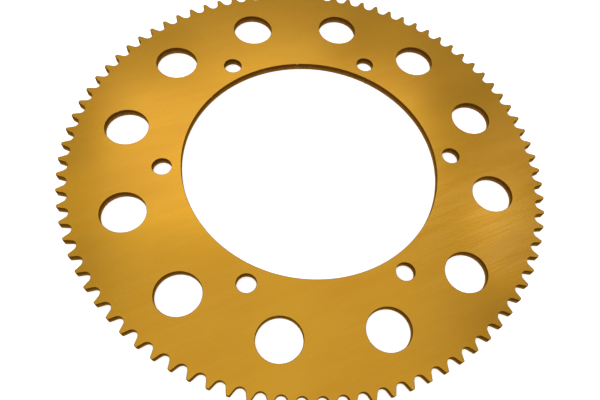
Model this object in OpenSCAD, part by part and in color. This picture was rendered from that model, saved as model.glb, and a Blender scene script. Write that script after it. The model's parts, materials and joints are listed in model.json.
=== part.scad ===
// Rear sprocket for a fine-pitch roller chain: one flat plate with teeth round its rim.
// It lies flat, with its seating face at z = 0 and its axis on +Z.
// The first bolt hole is on +X.

/* [Chain teeth] */
// Number of teeth round the rim
tooth_count = 87; // [60:1:110]
// Chain pitch, from one roller's centre to the next
chain_pitch = 7.775; // [6.4:0.005:13]
// Diameter of the chain's rollers
roller_d = 4.59; // [3:0.01:5.6]
// Height of the tooth tips above the pitch circle
tip_h = 2; // [1:0.1:2.4]
// Angle between a tooth's flank and the line out through the middle of the gap
flank_angle = 22; // [17:0.5:24]
// Turn of the first tooth gap from the first bolt hole
tooth_clock = 0.95; // [0:0.05:4]

/* [Plate] */
// Thickness of the plate
plate_t = 3.5; // [2:0.1:8]

/* [Bore and bolt holes] */
// Diameter of the bore that goes over the carrier's shoulder
bore_d = 116.6; // [60:0.1:140]
// Number of bolt holes
bolt_count = 6; // [3:1:8]
// Diameter of each bolt hole
bolt_hole_d = 8.3; // [5:0.1:12]
// Metal left between the bore and a bolt hole
bolt_wall = 4.05; // [3:0.05:8]

/* [Lightening holes] */
// Number of lightening holes between each two bolt holes
lights_per_bolt = 2; // [1:1:2]
// Diameter of each lightening hole
light_hole_d = 18.9; // [8:0.1:24]
// How far the lightening holes' circle lies outside the middle of the web
light_shift = 2.9; // [0:0.1:4]

/* [Hidden] */
$fa = 1;
$fs = 0.25;
through = 1;
flank_bite = 0.005;

// Tooth form: a round seat for the roller, then a straight flank on each side up to the tip.
// The flanks cut into the seat by flank_bite instead of just touching it.
pitch_r = chain_pitch / (2 * sin(180 / tooth_count));
seat_r = 0.505 * roller_d;
root_r = pitch_r - roller_d / 2;
tip_r = pitch_r + tip_h;
flank_x = -(seat_r - flank_bite) * sin(flank_angle);
flank_y = (seat_r - flank_bite) * cos(flank_angle);
mouth_x = tip_h + through;
mouth_y = flank_y + (mouth_x - flank_x) * tan(flank_angle);

// Holes: the web is the metal between the bore and the tooth roots
bore_r = bore_d / 2;
bolt_circle_r = bore_r + bolt_wall + bolt_hole_d / 2;
light_circle_r = (bore_r + root_r) / 2 + light_shift;
light_count = bolt_count * lights_per_bolt;
light_clock = 180 / light_count;

// Spreads its child round the axis, each turned to face outwards
module round_axis(count, clock, radius) {
    for (i = [0 : count - 1])
        rotate(clock + i * 360 / count)
            translate([radius, 0])
                children();
}

// Gap between two teeth, centred on the roller that sits in it
module tooth_gap() {
    circle(r = seat_r);
    polygon([
        [flank_x, -flank_y],
        [mouth_x, -mouth_y],
        [mouth_x, mouth_y],
        [flank_x, flank_y]
    ]);
}

module sprocket() {
    color("goldenrod")
        linear_extrude(plate_t)
            difference() {
                circle(r = tip_r);
                circle(r = bore_r);
                round_axis(tooth_count, tooth_clock, pitch_r) tooth_gap();
                round_axis(bolt_count, 0, bolt_circle_r) circle(d = bolt_hole_d);
                round_axis(light_count, light_clock, light_circle_r) circle(d = light_hole_d);
            }
}

sprocket();
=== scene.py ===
"""Looks of a rear sprocket: one gold anodised plate with chain teeth, on a pale studio floor."""

import json
import math

import bpy
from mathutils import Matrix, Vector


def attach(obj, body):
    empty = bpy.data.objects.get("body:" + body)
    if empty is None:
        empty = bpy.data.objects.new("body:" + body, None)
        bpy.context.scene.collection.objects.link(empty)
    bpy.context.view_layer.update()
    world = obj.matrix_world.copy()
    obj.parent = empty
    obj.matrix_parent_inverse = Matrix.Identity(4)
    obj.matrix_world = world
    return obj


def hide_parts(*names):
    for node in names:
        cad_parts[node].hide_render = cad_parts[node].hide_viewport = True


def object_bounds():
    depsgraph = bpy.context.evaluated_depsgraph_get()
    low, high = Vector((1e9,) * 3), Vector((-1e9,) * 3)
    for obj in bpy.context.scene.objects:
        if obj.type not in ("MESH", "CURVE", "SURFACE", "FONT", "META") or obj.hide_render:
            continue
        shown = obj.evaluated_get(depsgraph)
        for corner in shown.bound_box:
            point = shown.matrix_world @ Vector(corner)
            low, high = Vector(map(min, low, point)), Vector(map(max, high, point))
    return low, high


bl_info = {
    "name": "Rear sprocket",
    "version": (1, 0, 0),
    "blender": (4, 5, 0),
    "location": "3D View > Sidebar > Sprocket",
    "description": "Builds an anodised chain sprocket plate and a plain studio round it",
    "category": "Add Mesh",
}

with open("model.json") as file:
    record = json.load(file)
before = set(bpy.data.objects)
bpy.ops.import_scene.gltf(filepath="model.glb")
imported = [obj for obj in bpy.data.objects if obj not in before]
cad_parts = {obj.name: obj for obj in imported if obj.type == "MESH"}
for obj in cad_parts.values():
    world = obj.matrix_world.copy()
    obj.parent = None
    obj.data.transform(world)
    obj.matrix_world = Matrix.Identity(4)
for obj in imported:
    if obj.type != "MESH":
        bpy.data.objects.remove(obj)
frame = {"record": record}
CAD_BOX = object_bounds()
CAD_NODE = "sprocket"
MOUNTS = {mount["name"]: mount for mount in frame["record"]["mounts"]}
MM = 0.001


def mount_size(mount, key):
    """One size of a mount, in metres."""
    return MOUNTS[mount]["dims"][key] * MM


# ---------------------------------------------------------------- sizes and colours


class SprocketTeeth(bpy.types.PropertyGroup):
    """Sizes of the chain teeth."""

    tooth_count: bpy.props.IntProperty(
        name="Teeth", description="Number of teeth round the rim", default=87, min=20
    )
    chain_pitch: bpy.props.FloatProperty(
        name="Chain pitch",
        description="Distance from one roller's centre to the next",
        default=7.775 * MM,
        unit="LENGTH",
        precision=5,
    )
    roller_diameter: bpy.props.FloatProperty(
        name="Roller diameter",
        description="Diameter of the chain's rollers",
        default=4.59 * MM,
        unit="LENGTH",
        precision=5,
    )
    tip_height: bpy.props.FloatProperty(
        name="Tip height",
        description="Height of the tooth tips above the pitch circle",
        default=2.0 * MM,
        unit="LENGTH",
        precision=5,
    )
    tip_rounding: bpy.props.FloatProperty(
        name="Tip rounding",
        description="Radius that rounds both corners of each tooth tip",
        default=0.45 * MM,
        unit="LENGTH",
        precision=5,
    )
    flank_angle: bpy.props.FloatProperty(
        name="Flank angle",
        description="Angle between a flank and the line out through the middle of the gap",
        default=math.radians(22.0),
        subtype="ANGLE",
    )
    first_gap: bpy.props.FloatProperty(
        name="First gap",
        description="Turn of the first tooth gap from the first bolt hole",
        default=math.radians(0.95),
        subtype="ANGLE",
    )


class SprocketPlate(bpy.types.PropertyGroup):
    """Sizes of the plate and its holes."""

    thickness: bpy.props.FloatProperty(
        name="Thickness",
        description="Thickness of the plate",
        default=CAD_BOX[1][2] - CAD_BOX[0][2],
        unit="LENGTH",
        precision=5,
    )
    edge_break: bpy.props.FloatProperty(
        name="Edge break",
        description="Radius that takes the sharpness off every rim",
        default=0.18 * MM,
        unit="LENGTH",
        precision=5,
    )
    bore_radius: bpy.props.FloatProperty(
        name="Bore radius",
        description="Radius of the large centre hole",
        default=mount_size("bore", "r_mm"),
        unit="LENGTH",
        precision=5,
    )
    bolt_holes: bpy.props.IntProperty(
        name="Bolt holes",
        description="Number of bolt holes",
        default=MOUNTS["carrier_bolts"]["dims"]["count"],
        min=3,
    )
    bolt_circle_radius: bpy.props.FloatProperty(
        name="Bolt circle radius",
        description="Radius of the circle that the bolt holes lie on",
        default=mount_size("carrier_bolts", "pcd_mm") / 2,
        unit="LENGTH",
        precision=5,
    )
    bolt_hole_radius: bpy.props.FloatProperty(
        name="Bolt hole radius",
        description="Radius of each bolt hole",
        default=mount_size("carrier_bolts", "hole_r_mm"),
        unit="LENGTH",
        precision=5,
    )
    lights_per_bolt: bpy.props.IntProperty(
        name="Lightening holes per bolt",
        description="Number of lightening holes between each two bolt holes",
        default=2,
        min=1,
    )
    light_hole_radius: bpy.props.FloatProperty(
        name="Lightening hole radius",
        description="Radius of each lightening hole",
        default=9.45 * MM,
        unit="LENGTH",
        precision=5,
    )
    light_shift: bpy.props.FloatProperty(
        name="Lightening hole shift",
        description="How far the lightening holes' circle lies outside the middle of the web",
        default=2.9 * MM,
        unit="LENGTH",
        precision=5,
    )


class SprocketFinish(bpy.types.PropertyGroup):
    """Colours and grain of the anodised skin."""

    gold: bpy.props.FloatVectorProperty(
        name="Gold",
        description="Main colour of the dyed skin on the faces",
        default=(0.57, 0.285, 0.005),
        size=3,
        subtype="COLOR",
    )
    deep_gold: bpy.props.FloatVectorProperty(
        name="Deep gold",
        description="Colour where the dye has taken more strongly",
        default=(0.47, 0.205, 0.002),
        size=3,
        subtype="COLOR",
    )
    # Painted shade: a very dark bronze that stands in for shade on the cut walls. The walls take it
    # above their low band, in random torn patches and on their rims.
    painted_shade_bronze: bpy.props.FloatVectorProperty(
        name="Painted shade bronze",
        description="Dark bronze of the rough, torn part of the cut walls",
        default=(0.086, 0.033, 0.006),
        size=3,
        subtype="COLOR",
    )
    # Painted shade with painted reflected light: a less dark bronze for the low band of the cut
    # walls, lighter than the bronze above it.
    lighter_painted_shade_bronze: bpy.props.FloatVectorProperty(
        name="Lighter painted shade bronze",
        description="Lighter bronze of the smoother, sheared part of the cut walls",
        default=(0.235, 0.099, 0.016),
        size=3,
        subtype="COLOR",
    )
    # This pale gold marks real wear on the faces. On the rims of the cut walls it marks knocked spots
    # that are partly wear and partly painted highlight.
    rubbed_and_glint_gold: bpy.props.FloatVectorProperty(
        name="Rubbed and glint gold",
        description="Pale gold where the skin is rubbed thin",
        default=(0.72, 0.44, 0.085),
        size=3,
        subtype="COLOR",
    )
    edge_tint: bpy.props.FloatVectorProperty(
        name="Edge tint",
        description="Tint of the skin's reflections where it is seen nearly edge on",
        default=(1.0, 0.80, 0.42),
        size=3,
        subtype="COLOR",
    )
    face_roughness: bpy.props.FloatProperty(
        name="Face roughness",
        description="Roughness of the satin faces",
        default=0.22,
        min=0.05,
        max=1.0,
    )
    wall_roughness: bpy.props.FloatProperty(
        name="Wall roughness",
        description="Roughness of the cut walls",
        default=0.55,
        min=0.05,
        max=1.0,
    )
    grain_turn: bpy.props.FloatProperty(
        name="Grain direction",
        description="Direction that the sheet was rolled in, measured from +X",
        default=math.radians(18.0),
        subtype="ANGLE",
    )
    rubbed_place: bpy.props.FloatVectorProperty(
        name="Rubbed place",
        description="Middle of the patch where the rolled lines show most",
        default=(0.078, -0.036, 0.0),
        size=3,
        subtype="TRANSLATION",
        unit="LENGTH",
    )
    rubbed_reach: bpy.props.FloatProperty(
        name="Rubbed reach",
        description="Radius of the patch where the rolled lines show most",
        default=0.062,
        unit="LENGTH",
    )


class SprocketStudio(bpy.types.PropertyGroup):
    """Floor, light and camera."""

    floor_colour: bpy.props.FloatVectorProperty(
        name="Floor colour",
        description="Colour of the plain floor",
        default=(0.92, 0.92, 0.92),
        size=3,
        subtype="COLOR",
    )
    floor_glow: bpy.props.FloatProperty(
        name="Floor glow",
        description="Strength of the light that the floor gives off, like a light table",
        default=0.62,
        min=0.0,
    )
    ambient: bpy.props.FloatProperty(
        name="Ambient light",
        description="Strength of the even light from all round",
        default=0.5,
        min=0.0,
    )
    wall_light: bpy.props.FloatProperty(
        name="Wall light",
        description="Strength of the even light from low down all round",
        default=1.0,
        min=0.0,
    )
    softbox_height: bpy.props.FloatProperty(
        name="Softbox height",
        description="Height at which the softboxes hang above the floor",
        default=1.0,
        unit="LENGTH",
    )
    softbox_strength: bpy.props.FloatProperty(
        name="Softbox strength",
        description="Brightness of all the softboxes together, against how they are balanced",
        default=1.0,
        min=0.0,
    )
    camera_place: bpy.props.FloatVectorProperty(
        name="Camera place",
        description="Where the camera stands",
        default=(-30.85 * MM, -134.31 * MM, 197.34 * MM),
        size=3,
        subtype="TRANSLATION",
        unit="LENGTH",
    )
    camera_turn: bpy.props.FloatVectorProperty(
        name="Camera turn",
        description="The camera's turns about X, Y and Z",
        default=(math.radians(24.593), math.radians(-6.606), math.radians(-7.166)),
        size=3,
        subtype="EULER",
    )
    focal_length: bpy.props.FloatProperty(
        name="Focal length",
        description="Focal length on a sensor 36 mm wide, in millimetres",
        default=30.674,
        min=1.0,
    )
    frame_shift: bpy.props.FloatVectorProperty(
        name="Frame shift",
        description="How far the picture is cropped off the lens axis, as a share of its width",
        default=(-0.0522, 0.0946),
        size=2,
    )


# ---------------------------------------------------------------- node helpers


def put(tree, kind, inputs=None, **settings):
    """Add one node, give it its own settings, then fill or link its inputs."""
    made = tree.nodes.new(kind)
    for name, value in settings.items():
        setattr(made, name, value)
    for key, value in (inputs or {}).items():
        if isinstance(value, bpy.types.NodeSocket):
            tree.links.new(value, made.inputs[key])
        else:
            made.inputs[key].default_value = value
    return made


def calc(tree, operation, first, second=0.0):
    """One math node's result."""
    return put(tree, "ShaderNodeMath", {0: first, 1: second}, operation=operation).outputs[0]


def blend(tree, amount, low, high):
    """Value that goes from low to high as amount goes from 0 to 1."""
    made = put(tree, "ShaderNodeMix", {0: amount, 2: low, 3: high}, data_type="FLOAT")
    return made.outputs[0]


def blend_colour(tree, amount, low, high):
    """Colour that goes from low to high as amount goes from 0 to 1."""
    made = put(tree, "ShaderNodeMix", {0: amount}, data_type="RGBA")
    for key, value in ((6, low), (7, high)):
        if isinstance(value, bpy.types.NodeSocket):
            tree.links.new(value, made.inputs[key])
        else:
            made.inputs[key].default_value = (*value, 1.0)
    return made.outputs[2]


def remap(tree, value, low, high, to_low=0.0, to_high=1.0):
    """Value stretched smoothly from one span to another and held at its ends."""
    spans = {0: value, 1: low, 2: high, 3: to_low, 4: to_high}
    return put(tree, "ShaderNodeMapRange", spans, interpolation_type="SMOOTHSTEP").outputs[0]


def add_sockets(tree, in_out, sockets):
    """Give a node group its named inputs or outputs."""
    for name, kind in sockets:
        tree.interface.new_socket(name=name, in_out=in_out, socket_type=kind)


# ---------------------------------------------------------------- plate form


PLATE_INPUTS = [
    ("Tooth count", "NodeSocketInt"),
    ("First gap", "NodeSocketFloat"),
    ("Gap apex radius", "NodeSocketFloat"),
    ("Tip radius", "NodeSocketFloat"),
    ("Tip corner angle", "NodeSocketFloat"),
    ("Seat radius", "NodeSocketFloat"),
    ("Tip rounding", "NodeSocketFloat"),
    ("Thickness", "NodeSocketFloat"),
    ("Edge break", "NodeSocketFloat"),
    ("Bore radius", "NodeSocketFloat"),
    ("Bolt holes", "NodeSocketInt"),
    ("Bolt circle radius", "NodeSocketFloat"),
    ("Bolt hole radius", "NodeSocketFloat"),
    ("Lightening holes", "NodeSocketInt"),
    ("Lightening circle radius", "NodeSocketFloat"),
    ("Lightening hole radius", "NodeSocketFloat"),
    ("Lightening hole turn", "NodeSocketFloat"),
    ("Face finish", "NodeSocketMaterial"),
    ("Wall finish", "NodeSocketMaterial"),
]
SEAT_STEPS = 14
TIP_STEPS = 4
EDGE_STEPS = 3
BORE_STEPS = 288
LIGHT_STEPS = 72
BOLT_STEPS = 40
WELD = 0.002 * MM
# A gap's seat is a little wider than the roller that lies in it.
SEAT_TO_ROLLER = 0.505


def tooth_rim(tree, sizes):
    """Closed curve of the toothed rim: a V for each gap and two corners for each tip, all rounded."""
    point = put(tree, "GeometryNodeInputIndex").outputs[0]
    kind = calc(tree, "MODULO", point, 3.0)
    tooth = calc(tree, "FLOOR", calc(tree, "DIVIDE", point, 3.0))
    on_tip = calc(tree, "MINIMUM", kind, 1.0)
    on_far_corner = calc(tree, "MAXIMUM", calc(tree, "SUBTRACT", kind, 1.0), 0.0)
    step = calc(tree, "DIVIDE", 2 * math.pi, sizes["Tooth count"])
    corner = sizes["Tip corner angle"]
    tip_width = calc(tree, "SUBTRACT", step, calc(tree, "MULTIPLY", corner, 2.0))
    turn = calc(tree, "ADD", sizes["First gap"], calc(tree, "MULTIPLY", tooth, step))
    turn = calc(tree, "ADD", turn, calc(tree, "MULTIPLY", on_tip, corner))
    turn = calc(tree, "ADD", turn, calc(tree, "MULTIPLY", on_far_corner, tip_width))
    reach = blend(tree, on_tip, sizes["Gap apex radius"], sizes["Tip radius"])
    x = calc(tree, "MULTIPLY", reach, calc(tree, "COSINE", turn))
    y = calc(tree, "MULTIPLY", reach, calc(tree, "SINE", turn))
    place = put(tree, "ShaderNodeCombineXYZ", {0: x, 1: y}).outputs[0]
    points = put(
        tree, "FunctionNodeFloatToInt", {0: calc(tree, "MULTIPLY", sizes["Tooth count"], 3.0)}
    )
    ring = put(
        tree, "GeometryNodeCurvePrimitiveCircle", {"Resolution": points.outputs[0], "Radius": 1.0}
    )
    zigzag = put(
        tree, "GeometryNodeSetPosition", {"Geometry": ring.outputs[0], "Position": place}
    )
    rounding = {
        "Curve": zigzag.outputs[0],
        "Count": put(
            tree,
            "FunctionNodeFloatToInt",
            {0: blend(tree, on_tip, float(SEAT_STEPS), float(TIP_STEPS))},
        ).outputs[0],
        "Radius": blend(tree, on_tip, sizes["Seat radius"], sizes["Tip rounding"]),
    }
    return put(tree, "GeometryNodeFilletCurve", rounding, mode="POLY").outputs[0]


def round_hole(tree, radius, steps):
    """Closed curve of one round hole, run the other way round from the rim."""
    ring = put(
        tree, "GeometryNodeCurvePrimitiveCircle", {"Resolution": steps, "Radius": radius}
    )
    return put(tree, "GeometryNodeReverseCurve", {"Curve": ring.outputs[0]}).outputs[0]


def holes_on_circle(tree, hole, count, circle_radius, turn):
    """Copies of a hole, spread evenly on a circle."""
    centres = put(
        tree,
        "GeometryNodeCurvePrimitiveCircle",
        {"Resolution": count, "Radius": circle_radius},
    )
    turned = put(
        tree,
        "GeometryNodeTransform",
        {
            "Geometry": centres.outputs[0],
            "Rotation": put(tree, "ShaderNodeCombineXYZ", {2: turn}).outputs[0],
        },
    )
    copies = put(
        tree, "GeometryNodeInstanceOnPoints", {"Points": turned.outputs[0], "Instance": hole}
    )
    return put(tree, "GeometryNodeRealizeInstances", {0: copies.outputs[0]}).outputs[0]


def wall_section(tree, thickness, edge_break):
    """Section of a wall, from the top face's edge to the bottom face's, with both edges rounded."""
    last = 2 * EDGE_STEPS + 1
    index = put(tree, "GeometryNodeInputIndex").outputs[0]
    from_end = calc(tree, "MINIMUM", index, calc(tree, "SUBTRACT", float(last), index))
    turn = calc(tree, "MULTIPLY", from_end, math.pi / 2 / EDGE_STEPS)
    half = calc(tree, "SIGN", calc(tree, "SUBTRACT", last / 2, index))
    drop = calc(tree, "SUBTRACT", 1.0, calc(tree, "COSINE", turn))
    height = calc(
        tree,
        "SUBTRACT",
        calc(tree, "DIVIDE", thickness, 2.0),
        calc(tree, "MULTIPLY", edge_break, drop),
    )
    inset = calc(
        tree,
        "MULTIPLY",
        edge_break,
        calc(tree, "SUBTRACT", 1.0, calc(tree, "SINE", turn)),
    )
    place = put(
        tree,
        "ShaderNodeCombineXYZ",
        {0: calc(tree, "MULTIPLY", inset, -1.0), 1: calc(tree, "MULTIPLY", half, height)},
    )
    line = put(tree, "GeometryNodeCurvePrimitiveLine", {"End": (0.0, 1.0, 0.0)})
    points = put(
        tree,
        "GeometryNodeResampleCurve",
        {"Curve": line.outputs[0], "Count": last + 1},
        mode="COUNT",
    )
    return put(
        tree,
        "GeometryNodeSetPosition",
        {"Geometry": points.outputs[0], "Position": place.outputs[0]},
    ).outputs[0]


def plate_tree():
    """Geometry nodes that turn the sprocket's sizes into one closed plate."""
    tree = bpy.data.node_groups.new("sprocket_plate_form", "GeometryNodeTree")
    add_sockets(tree, "INPUT", PLATE_INPUTS)
    add_sockets(tree, "OUTPUT", [("Plate", "NodeSocketGeometry")])
    sizes = put(tree, "NodeGroupInput").outputs
    outlines = put(tree, "GeometryNodeJoinGeometry")
    bolt_hole = round_hole(tree, sizes["Bolt hole radius"], BOLT_STEPS)
    light_hole = round_hole(tree, sizes["Lightening hole radius"], LIGHT_STEPS)
    for outline in (
        tooth_rim(tree, sizes),
        round_hole(tree, sizes["Bore radius"], BORE_STEPS),
        holes_on_circle(
            tree, bolt_hole, sizes["Bolt holes"], sizes["Bolt circle radius"], 0.0
        ),
        holes_on_circle(
            tree,
            light_hole,
            sizes["Lightening holes"],
            sizes["Lightening circle radius"],
            sizes["Lightening hole turn"],
        ),
    ):
        tree.links.new(outline, outlines.inputs[0])
    level = put(
        tree, "GeometryNodeSetCurveNormal", {"Curve": outlines.outputs[0]}, mode="Z_UP"
    ).outputs[0]

    walls = put(
        tree,
        "GeometryNodeCurveToMesh",
        {
            "Curve": level,
            "Profile Curve": wall_section(tree, sizes["Thickness"], sizes["Edge break"]),
        },
    ).outputs[0]
    walls = put(tree, "GeometryNodeFlipFaces", {"Mesh": walls}).outputs[0]
    walls = put(tree, "GeometryNodeSetShadeSmooth", {"Geometry": walls, "Shade Smooth": True})
    walls = put(
        tree,
        "GeometryNodeSetMaterial",
        {"Geometry": walls.outputs[0], "Material": sizes["Wall finish"]},
    ).outputs[0]

    inward = put(
        tree,
        "ShaderNodeVectorMath",
        {0: (0.0, 0.0, 1.0), 1: put(tree, "GeometryNodeInputTangent").outputs[0]},
        operation="CROSS_PRODUCT",
    ).outputs[0]
    inward = put(
        tree, "ShaderNodeVectorMath", {0: inward, "Scale": sizes["Edge break"]}, operation="SCALE"
    ).outputs[0]
    face_edge = put(
        tree, "GeometryNodeSetPosition", {"Geometry": level, "Offset": inward}
    ).outputs[0]
    face = put(tree, "GeometryNodeFillCurve", {"Curve": face_edge}, mode="TRIANGLES").outputs[0]
    face = put(tree, "GeometryNodeSetShadeSmooth", {"Geometry": face, "Shade Smooth": False})
    face = put(
        tree,
        "GeometryNodeSetMaterial",
        {"Geometry": face.outputs[0], "Material": sizes["Face finish"]},
    ).outputs[0]
    half = calc(tree, "DIVIDE", sizes["Thickness"], 2.0)
    up = put(tree, "ShaderNodeCombineXYZ", {2: half}).outputs[0]
    down = put(
        tree, "ShaderNodeCombineXYZ", {2: calc(tree, "MULTIPLY", half, -1.0)}
    ).outputs[0]
    top = put(tree, "GeometryNodeTransform", {"Geometry": face, "Translation": up}).outputs[0]
    under = put(tree, "GeometryNodeFlipFaces", {"Mesh": face}).outputs[0]
    under = put(
        tree, "GeometryNodeTransform", {"Geometry": under, "Translation": down}
    ).outputs[0]

    shell = put(tree, "GeometryNodeJoinGeometry")
    for part in (walls, top, under):
        tree.links.new(part, shell.inputs[0])
    closed = put(
        tree, "GeometryNodeMergeByDistance", {"Geometry": shell.outputs[0], "Distance": WELD}
    )
    seated = put(
        tree, "GeometryNodeTransform", {"Geometry": closed.outputs[0], "Translation": up}
    )
    plain = put(tree, "GeometryNodeRealizeInstances", {0: seated.outputs[0]})
    put(tree, "NodeGroupOutput", {0: plain.outputs[0]})
    return tree


def plate_sizes(teeth, plate, face_finish, wall_finish):
    """What the plate tree is fed, worked out from the sprocket's own sizes."""
    pitch_radius = teeth.chain_pitch / 2 / math.sin(math.pi / teeth.tooth_count)
    seat_radius = SEAT_TO_ROLLER * teeth.roller_diameter
    root_radius = pitch_radius - teeth.roller_diameter / 2
    tip_radius = pitch_radius + teeth.tip_height
    apex_radius = pitch_radius - seat_radius / math.sin(teeth.flank_angle)
    # The flank leaves the V's apex at the flank angle and ends on the tip circle.
    swing = math.asin(apex_radius * math.sin(teeth.flank_angle) / tip_radius)
    light_count = plate.bolt_holes * plate.lights_per_bolt
    return {
        "Tooth count": teeth.tooth_count,
        "First gap": teeth.first_gap,
        "Gap apex radius": apex_radius,
        "Tip radius": tip_radius,
        "Tip corner angle": teeth.flank_angle - swing,
        "Seat radius": seat_radius,
        "Tip rounding": teeth.tip_rounding,
        "Thickness": plate.thickness,
        "Edge break": plate.edge_break,
        "Bore radius": plate.bore_radius,
        "Bolt holes": plate.bolt_holes,
        "Bolt circle radius": plate.bolt_circle_radius,
        "Bolt hole radius": plate.bolt_hole_radius,
        "Lightening holes": light_count,
        "Lightening circle radius": (plate.bore_radius + root_radius) / 2 + plate.light_shift,
        "Lightening hole radius": plate.light_hole_radius,
        "Lightening hole turn": math.pi / light_count,
        "Face finish": face_finish,
        "Wall finish": wall_finish,
    }


def grow_mesh(name, tree, values):
    """Run a geometry tree with these values and keep its result as a plain mesh object."""
    carrier = bpy.data.objects.new(name + "_form", bpy.data.meshes.new(name + "_form"))
    bpy.context.scene.collection.objects.link(carrier)
    modifier = carrier.modifiers.new("form", "NODES")
    modifier.node_group = tree
    for socket in tree.interface.items_tree:
        if socket.in_out == "INPUT":
            modifier[socket.identifier] = values[socket.name]
    graph = bpy.context.evaluated_depsgraph_get()
    mesh = bpy.data.meshes.new_from_object(carrier.evaluated_get(graph))
    mesh.name = name
    bpy.data.objects.remove(carrier)
    piece = bpy.data.objects.new(name, mesh)
    bpy.context.scene.collection.objects.link(piece)
    return piece


# ---------------------------------------------------------------- finishes


# How strongly each mark shows away from the rubbed patch, and in the middle of it.
LINES_SHOW = (0.16, 0.44)
BANDS_SHOW = (0.07, 0.22)
SCUFFS_SHOW = (0.12, 0.5)
DYE_SHOWS = 0.6
SPECKS_SHOW = 0.5
# How much rougher or smoother each mark leaves the faces.
SHEEN_SWING = 0.03
LINES_ROUGHEN = 0.10
SCUFFS_SMOOTH = 0.15
# How much rougher or smoother each mark leaves the cut walls.
TEAR_ROUGHENS = 0.2
LOW_BAND_SMOOTHS = 0.12
DYE_ROUGHENS = 0.05
LINE_RELIEF = 0.0014 * MM
SCUFF_RELIEF = 0.002 * MM
TEAR_RELIEF = 0.03 * MM
COAT_WEIGHT = 0.45
COAT_ROUGHNESS = 0.18
FLOOR_ROUGHNESS = 0.9
FLOOR_CLOUDING = 0.99


def new_group(name, inputs, outputs):
    """An empty shader group with its inputs and outputs."""
    tree = bpy.data.node_groups.new(name, "ShaderNodeTree")
    add_sockets(tree, "INPUT", inputs)
    add_sockets(tree, "OUTPUT", outputs)
    return tree, put(tree, "NodeGroupInput").outputs


def noise(tree, coords, lines_per_metre, detail=2.0, roughness=0.5, turn=0.0):
    """Noise with about this many patches to a metre along each axis, after a turn about Z."""
    spin = put(tree, "ShaderNodeCombineXYZ", {2: turn}).outputs[0]
    turned = put(
        tree, "ShaderNodeMapping", {"Vector": coords, "Rotation": spin}, vector_type="TEXTURE"
    )
    scaled = put(
        tree,
        "ShaderNodeVectorMath",
        {0: turned.outputs[0], 1: lines_per_metre},
        operation="MULTIPLY",
    )
    inputs = {
        "Vector": scaled.outputs[0],
        "Scale": 1.0,
        "Detail": detail,
        "Roughness": roughness,
    }
    return put(tree, "ShaderNodeTexNoise", inputs).outputs[0]


def rolled_grain_group():
    """Long soft lines that rolling leaves in sheet: fine and broad ones, and a slow sheen."""
    tree, given = new_group(
        "rolled_grain",
        [("Coordinates", "NodeSocketVector"), ("Direction", "NodeSocketFloat")],
        [
            ("Fine", "NodeSocketFloat"),
            ("Bands", "NodeSocketFloat"),
            ("Sheen", "NodeSocketFloat"),
        ],
    )
    coords, turn = given["Coordinates"], given["Direction"]
    hair = noise(tree, coords, (35.0, 3200.0, 900.0), 2.0, 0.6, turn)
    line = noise(tree, coords, (26.0, 950.0, 300.0), 3.0, 0.6, turn)
    band = noise(tree, coords, (26.0, 230.0, 60.0), 4.0, 0.6, turn)
    patch = noise(tree, coords, (11.0, 34.0, 20.0), 2.0, 0.5, turn)
    put(
        tree,
        "NodeGroupOutput",
        {
            "Fine": blend(tree, 0.15, line, hair),
            "Bands": remap(tree, band, 0.3, 0.7),
            "Sheen": remap(tree, patch, 0.3, 0.7),
        },
    )
    return tree


def rubbed_patch_group():
    """A soft-edged patch, full in its middle and fading outwards unevenly."""
    tree, given = new_group(
        "rubbed_patch",
        [
            ("Coordinates", "NodeSocketVector"),
            ("Middle", "NodeSocketVector"),
            ("Reach", "NodeSocketFloat"),
        ],
        [("Mask", "NodeSocketFloat")],
    )
    span = put(
        tree,
        "ShaderNodeVectorMath",
        {0: given["Coordinates"], 1: given["Middle"]},
        operation="DISTANCE",
    ).outputs["Value"]
    share = calc(tree, "DIVIDE", span, given["Reach"])
    ragged = noise(tree, given["Coordinates"], (40.0, 40.0, 40.0), 2.0, 0.5)
    share = calc(tree, "ADD", share, calc(tree, "MULTIPLY", ragged, 0.6))
    put(tree, "NodeGroupOutput", {"Mask": remap(tree, share, 0.35, 1.3, 1.0, 0.0)})
    return tree


def handling_marks_group():
    """Sparse long soft scuffs from handling, nearly along the grain."""
    tree, given = new_group(
        "handling_marks",
        [("Coordinates", "NodeSocketVector"), ("Direction", "NodeSocketFloat")],
        [("Mask", "NodeSocketFloat")],
    )
    coords = given["Coordinates"]
    marks = None
    for lean, lines_per_metre in ((0.10, (16.0, 900.0, 60.0)), (-0.22, (24.0, 1400.0, 90.0))):
        turn = calc(tree, "ADD", given["Direction"], lean)
        lines = noise(tree, coords, lines_per_metre, 1.0, 0.4, turn)
        patch = noise(tree, coords, (30.0, 30.0, 30.0), 2.0, 0.5, turn)
        line = remap(tree, lines, 0.62, 0.82)
        line = calc(tree, "MULTIPLY", line, remap(tree, patch, 0.5, 0.7))
        marks = line if marks is None else calc(tree, "MAXIMUM", marks, line)
    put(tree, "NodeGroupOutput", {"Mask": marks})
    return tree


def dye_cloud_group():
    """Slow patches where the dye took a little more or less, with tiny specks."""
    tree, given = new_group(
        "dye_cloud",
        [("Coordinates", "NodeSocketVector")],
        [("Depth", "NodeSocketFloat"), ("Specks", "NodeSocketFloat")],
    )
    coords = given["Coordinates"]
    slow = noise(tree, coords, (16.0, 16.0, 16.0), 4.0, 0.5)
    speck = noise(tree, coords, (620.0, 620.0, 620.0), 1.0, 0.5)
    put(
        tree,
        "NodeGroupOutput",
        {"Depth": remap(tree, slow, 0.3, 0.7), "Specks": remap(tree, speck, 0.80, 0.86)},
    )
    return tree


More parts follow.
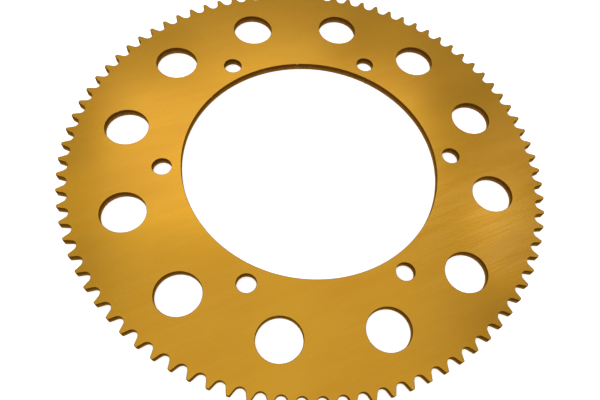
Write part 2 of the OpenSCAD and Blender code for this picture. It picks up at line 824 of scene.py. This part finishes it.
def cut_wall_group():
    """Masks for a cut wall: a smoother low band that is painted lighter, a torn texture, the rims
    that are painted darker, and knocked spots on the rims, partly wear and partly painted highlight.
    """
    tree, given = new_group(
        "cut_wall",
        [
            ("Coordinates", "NodeSocketVector"),
            ("Thickness", "NodeSocketFloat"),
            ("Edge break", "NodeSocketFloat"),
        ],
        [
            ("Low band painted lighter", "NodeSocketFloat"),
            ("Tear", "NodeSocketFloat"),
            ("Rim", "NodeSocketFloat"),
            ("Knocks and glints", "NodeSocketFloat"),
        ],
    )
    coords = given["Coordinates"]
    level = put(tree, "ShaderNodeSeparateXYZ", {0: coords}).outputs[2]
    share = calc(tree, "DIVIDE", level, given["Thickness"])
    ragged = noise(tree, coords, (240.0, 240.0, 240.0), 3.0, 0.6)
    edge = calc(tree, "ADD", share, calc(tree, "MULTIPLY", ragged, 0.5))
    tear = noise(tree, coords, (1500.0, 1500.0, 380.0), 3.0, 0.65)
    to_top = calc(tree, "SUBTRACT", given["Thickness"], level)
    to_rim = calc(tree, "MINIMUM", level, to_top)
    on_rim = remap(
        tree,
        calc(tree, "DIVIDE", to_rim, given["Edge break"]),
        0.5,
        1.3,
        1.0,
        0.0,
    )
    # Sparse spots on the rims, partly wear and partly painted highlight.
    knocks_and_glints = noise(tree, coords, (330.0, 330.0, 330.0), 2.0, 0.6)
    put(
        tree,
        "NodeGroupOutput",
        {
            "Low band painted lighter": remap(tree, edge, 0.35, 1.0, 1.0, 0.0),
            "Tear": tear,
            "Rim": on_rim,
            "Knocks and glints": calc(tree, "MULTIPLY", on_rim, remap(tree, knocks_and_glints, 0.66, 0.74)),
        },
    )
    return tree


def effect(tree, group, **inputs):
    """Place a shared shader group in a material and return its outputs."""
    made = tree.nodes.new("ShaderNodeGroup")
    made.node_tree = group
    for name, value in inputs.items():
        key = name.replace("_", " ")
        if isinstance(value, bpy.types.NodeSocket):
            tree.links.new(value, made.inputs[key])
        else:
            made.inputs[key].default_value = value
    return made.outputs


def new_material(name):
    """A material with an empty tree, its object coordinates and its Principled shader."""
    material = bpy.data.materials.new(name)
    material.use_nodes = True
    tree = material.node_tree
    tree.nodes.clear()
    shader = put(tree, "ShaderNodeBsdfPrincipled")
    put(tree, "ShaderNodeOutputMaterial", {0: shader.outputs[0]})
    coords = put(tree, "ShaderNodeTexCoord").outputs["Object"]
    return material, tree, shader, coords


def bump(tree, height, depth, normal=None):
    """Bump normal for a height that stands for this depth in metres."""
    inputs = {"Strength": 1.0, "Distance": depth, "Height": height}
    if normal is not None:
        inputs["Normal"] = normal
    return put(tree, "ShaderNodeBump", inputs).outputs[0]


def face_material(groups, finish):
    """Satin gold anodising over rolled sheet, on the two flat faces."""
    material, tree, shader, coords = new_material("gold_anodised_face")
    turn = finish.grain_turn
    grain = effect(tree, groups["rolled_grain"], Coordinates=coords, Direction=turn)
    patch = effect(
        tree,
        groups["rubbed_patch"],
        Coordinates=coords,
        Middle=finish.rubbed_place,
        Reach=finish.rubbed_reach,
    )["Mask"]
    marks = effect(tree, groups["handling_marks"], Coordinates=coords, Direction=turn)["Mask"]
    dye = effect(tree, groups["dye_cloud"], Coordinates=coords)

    depth = blend(tree, 0.35, dye["Depth"], grain["Sheen"])
    depth = calc(tree, "MULTIPLY", depth, DYE_SHOWS)
    colour = blend_colour(tree, depth, finish.gold, finish.deep_gold)
    lines = remap(tree, grain["Fine"], 0.3, 0.7)
    lines = calc(tree, "MULTIPLY", lines, blend(tree, patch, *LINES_SHOW))
    colour = blend_colour(tree, lines, colour, finish.deep_gold)
    bands = calc(tree, "MULTIPLY", grain["Bands"], blend(tree, patch, *BANDS_SHOW))
    colour = blend_colour(tree, bands, colour, finish.rubbed_and_glint_gold)
    scuffs = calc(tree, "MULTIPLY", marks, blend(tree, patch, *SCUFFS_SHOW))
    colour = blend_colour(tree, scuffs, colour, finish.rubbed_and_glint_gold)
    specks = calc(tree, "MULTIPLY", dye["Specks"], SPECKS_SHOW)
    colour = blend_colour(tree, specks, colour, finish.rubbed_and_glint_gold)
    tree.links.new(colour, shader.inputs["Base Color"])

    smoothest = finish.face_roughness - SHEEN_SWING
    roughest = finish.face_roughness + SHEEN_SWING
    rough = blend(tree, grain["Sheen"], smoothest, roughest)
    rough = calc(tree, "ADD", rough, calc(tree, "MULTIPLY", lines, LINES_ROUGHEN))
    rough = calc(tree, "SUBTRACT", rough, calc(tree, "MULTIPLY", scuffs, SCUFFS_SMOOTH))
    tree.links.new(rough, shader.inputs["Roughness"])
    relief = bump(tree, grain["Fine"], LINE_RELIEF)
    relief = bump(tree, scuffs, SCUFF_RELIEF, relief)
    tree.links.new(relief, shader.inputs["Normal"])
    shader.inputs["Metallic"].default_value = 1.0
    shader.inputs["Specular Tint"].default_value = (*finish.edge_tint, 1.0)
    shader.inputs["Coat Weight"].default_value = COAT_WEIGHT
    shader.inputs["Coat Roughness"].default_value = COAT_ROUGHNESS
    return material


def wall_material(groups, finish, plate):
    """Rough anodising on the cut walls, painted dark as shade: darkest and torn above and on the
    rims, painted lighter and smoother in a band below.
    """
    material, tree, shader, coords = new_material("gold_anodised_cut_edge")
    cut = effect(
        tree,
        groups["cut_wall"],
        Coordinates=coords,
        Thickness=plate.thickness,
        Edge_break=plate.edge_break,
    )
    dye = effect(tree, groups["dye_cloud"], Coordinates=coords)
    # Painted shade and painted light: the walls go from the very dark bronze above to the less dark
    # bronze in their low band.
    colour = blend_colour(tree, cut["Low band painted lighter"], finish.painted_shade_bronze, finish.lighter_painted_shade_bronze)
    torn = remap(tree, cut["Tear"], 0.35, 0.65, 0.0, 0.45)
    colour = blend_colour(tree, torn, colour, finish.painted_shade_bronze)
    # Painted shade: the rims of the cut walls are darkened further, to the very dark bronze.
    colour = blend_colour(tree, cut["Rim"], colour, finish.painted_shade_bronze)
    # Partly wear, partly painted highlight: sparse spots on the rims are painted pale gold.
    colour = blend_colour(tree, cut["Knocks and glints"], colour, finish.rubbed_and_glint_gold)
    tree.links.new(colour, shader.inputs["Base Color"])
    roughest = finish.wall_roughness + TEAR_ROUGHENS
    rough = blend(tree, cut["Tear"], finish.wall_roughness, roughest)
    rough = calc(tree, "SUBTRACT", rough, calc(tree, "MULTIPLY", cut["Low band painted lighter"], LOW_BAND_SMOOTHS))
    rough = calc(tree, "ADD", rough, calc(tree, "MULTIPLY", dye["Depth"], DYE_ROUGHENS))
    tree.links.new(rough, shader.inputs["Roughness"])
    relief = bump(tree, cut["Tear"], TEAR_RELIEF)
    tree.links.new(relief, shader.inputs["Normal"])
    shader.inputs["Metallic"].default_value = 1.0
    shader.inputs["Specular Tint"].default_value = (*finish.edge_tint, 1.0)
    return material


def floor_material(groups, studio):
    """Plain pale floor that glows a little, with a barely visible clouding."""
    material, tree, shader, coords = new_material("studio_floor")
    dye = effect(tree, groups["dye_cloud"], Coordinates=coords)
    shade = tuple(channel * FLOOR_CLOUDING for channel in studio.floor_colour)
    colour = blend_colour(tree, dye["Depth"], studio.floor_colour, shade)
    tree.links.new(colour, shader.inputs["Base Color"])
    shader.inputs["Roughness"].default_value = FLOOR_ROUGHNESS
    shader.inputs["Specular IOR Level"].default_value = 0.0
    shader.inputs["Emission Color"].default_value = (*studio.floor_colour, 1.0)
    shader.inputs["Emission Strength"].default_value = studio.floor_glow
    return material


def shared_groups():
    """The shader groups that the materials share, built once."""
    made = {}
    for build in (
        rolled_grain_group,
        rubbed_patch_group,
        handling_marks_group,
        dye_cloud_group,
        cut_wall_group,
    ):
        tree = build()
        made[tree.name] = tree
    return made


# ---------------------------------------------------------------- operators


class SPROCKET_OT_plate(bpy.types.Operator):
    """Build the toothed plate and its anodised finish"""

    bl_idname = "sprocket.plate"
    bl_label = "Sprocket plate"

    def execute(self, context):
        scene = context.scene
        teeth, plate, finish = scene.sprocket_teeth, scene.sprocket_plate, scene.sprocket_finish
        groups = shared_groups()
        values = plate_sizes(
            teeth, plate, face_material(groups, finish), wall_material(groups, finish, plate)
        )
        piece = grow_mesh("sprocket_plate", plate_tree(), values)
        if not piece.data.polygons:
            raise RuntimeError("the plate has no faces: its sizes leave no metal")
        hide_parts(CAD_NODE)
        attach(piece, "root")
        return {"FINISHED"}


# Name, middle, width and depth, and brightness of each softbox. All hang level at one height,
# and the dark gap between the left one and the others draws the shade across the plate's left.
SOFTBOXES = [
    ("key_light", (0.05, 0.75), (0.9, 0.5), 1.2),
    ("far_light", (0.05, 1.1), (0.4, 0.15), 0.9),
    ("top_light", (0.05, 0.15), (0.85, 0.65), 0.5),
    ("left_light", (-1.05, 0.3), (0.9, 1.2), 1.3),
    ("front_light", (-0.2, -0.5), (1.2, 1.2), 0.8),
    ("right_light", (0.65, 0.45), (0.15, 0.3), 1.3),
    ("corner_light", (0.85, 0.75), (0.3, 0.15), 0.7),
]
FLOOR_REACH = 6.0
# The floor lies this far below the plate, so that the two surfaces don't coincide.
FLOOR_DROP = 0.05 * MM
SENSOR_WIDTH = 36.0
NEAREST_SEEN = 1.0 * MM
# Sines of the heights between which the light from the walls gives way to that from above.
WALL_TOP = 0.30
OPEN_ABOVE = 0.55


def softbox(name, middle, size, brightness, height):
    """A soft rectangular light that faces straight down."""
    data = bpy.data.lights.new(name, "AREA")
    data.shape = "RECTANGLE"
    data.size, data.size_y = size
    data.energy = brightness * math.pi * size[0] * size[1]
    light = bpy.data.objects.new(name, data)
    bpy.context.scene.collection.objects.link(light)
    light.location = (*middle, height)


def studio_world(studio):
    """Even white light from all round, brighter low down where white walls stand."""
    world = bpy.data.worlds.new("studio")
    world.use_nodes = True
    tree = world.node_tree
    way = put(tree, "ShaderNodeTexCoord").outputs["Generated"]
    rise = put(tree, "ShaderNodeSeparateXYZ", {0: way}).outputs[2]
    strength = remap(tree, rise, WALL_TOP, OPEN_ABOVE, studio.wall_light, studio.ambient)
    tree.links.new(strength, tree.nodes["Background"].inputs["Strength"])
    tree.nodes["Background"].inputs["Color"].default_value = (1.0, 1.0, 1.0, 1.0)
    return world


class SPROCKET_OT_stage(bpy.types.Operator):
    """Build the floor, the lights and the camera"""

    bl_idname = "sprocket.stage"
    bl_label = "Studio stage"

    def execute(self, context):
        scene = context.scene
        studio = scene.sprocket_studio
        groups = {"dye_cloud": bpy.data.node_groups.get("dye_cloud") or dye_cloud_group()}
        mesh = bpy.data.meshes.new("studio_floor")
        corners = [(-1, -1), (1, -1), (1, 1), (-1, 1)]
        points = [(x * FLOOR_REACH, y * FLOOR_REACH, -FLOOR_DROP) for x, y in corners]
        mesh.from_pydata(points, [], [(0, 1, 2, 3)])
        mesh.materials.append(floor_material(groups, studio))
        floor = bpy.data.objects.new("studio_floor", mesh)
        scene.collection.objects.link(floor)

        scene.world = studio_world(studio)
        for name, middle, size, brightness in SOFTBOXES:
            brightness *= studio.softbox_strength
            softbox(name, middle, size, brightness, studio.softbox_height)

        lens = bpy.data.cameras.new("camera")
        lens.sensor_width = SENSOR_WIDTH
        lens.lens = studio.focal_length
        lens.shift_x, lens.shift_y = studio.frame_shift
        lens.clip_start = NEAREST_SEEN
        camera = bpy.data.objects.new("camera", lens)
        camera.location = studio.camera_place
        camera.rotation_euler = studio.camera_turn
        scene.collection.objects.link(camera)
        scene.camera = camera
        scene.view_settings.view_transform = "Standard"
        return {"FINISHED"}


class SPROCKET_PT_panel(bpy.types.Panel):
    """Sizes, finish and studio of the sprocket"""

    bl_idname = "SPROCKET_PT_panel"
    bl_label = "Rear sprocket"
    bl_space_type = "VIEW_3D"
    bl_region_type = "UI"
    bl_category = "Sprocket"

    def draw(self, context):
        for settings, operator in (
            ("sprocket_teeth", None),
            ("sprocket_plate", None),
            ("sprocket_finish", "sprocket.plate"),
            ("sprocket_studio", "sprocket.stage"),
        ):
            group = getattr(context.scene, settings)
            box = self.layout.box()
            for name in group.__annotations__:
                box.prop(group, name)
            if operator:
                box.operator(operator)


SETTINGS = {
    "sprocket_teeth": SprocketTeeth,
    "sprocket_plate": SprocketPlate,
    "sprocket_finish": SprocketFinish,
    "sprocket_studio": SprocketStudio,
}
CLASSES = (*SETTINGS.values(), SPROCKET_OT_plate, SPROCKET_OT_stage, SPROCKET_PT_panel)


def register():
    """Add the classes and the settings to Blender."""
    for item in CLASSES:
        bpy.utils.register_class(item)
    for name, group in SETTINGS.items():
        setattr(bpy.types.Scene, name, bpy.props.PointerProperty(type=group))


def unregister():
    """Take the settings and the classes out again."""
    for name in SETTINGS:
        delattr(bpy.types.Scene, name)
    for item in reversed(CLASSES):
        bpy.utils.unregister_class(item)


def main():
    """Build the sprocket and its stage."""
    register()
    bpy.ops.sprocket.plate()
    bpy.ops.sprocket.stage()


if __name__ == "__main__":
    main()
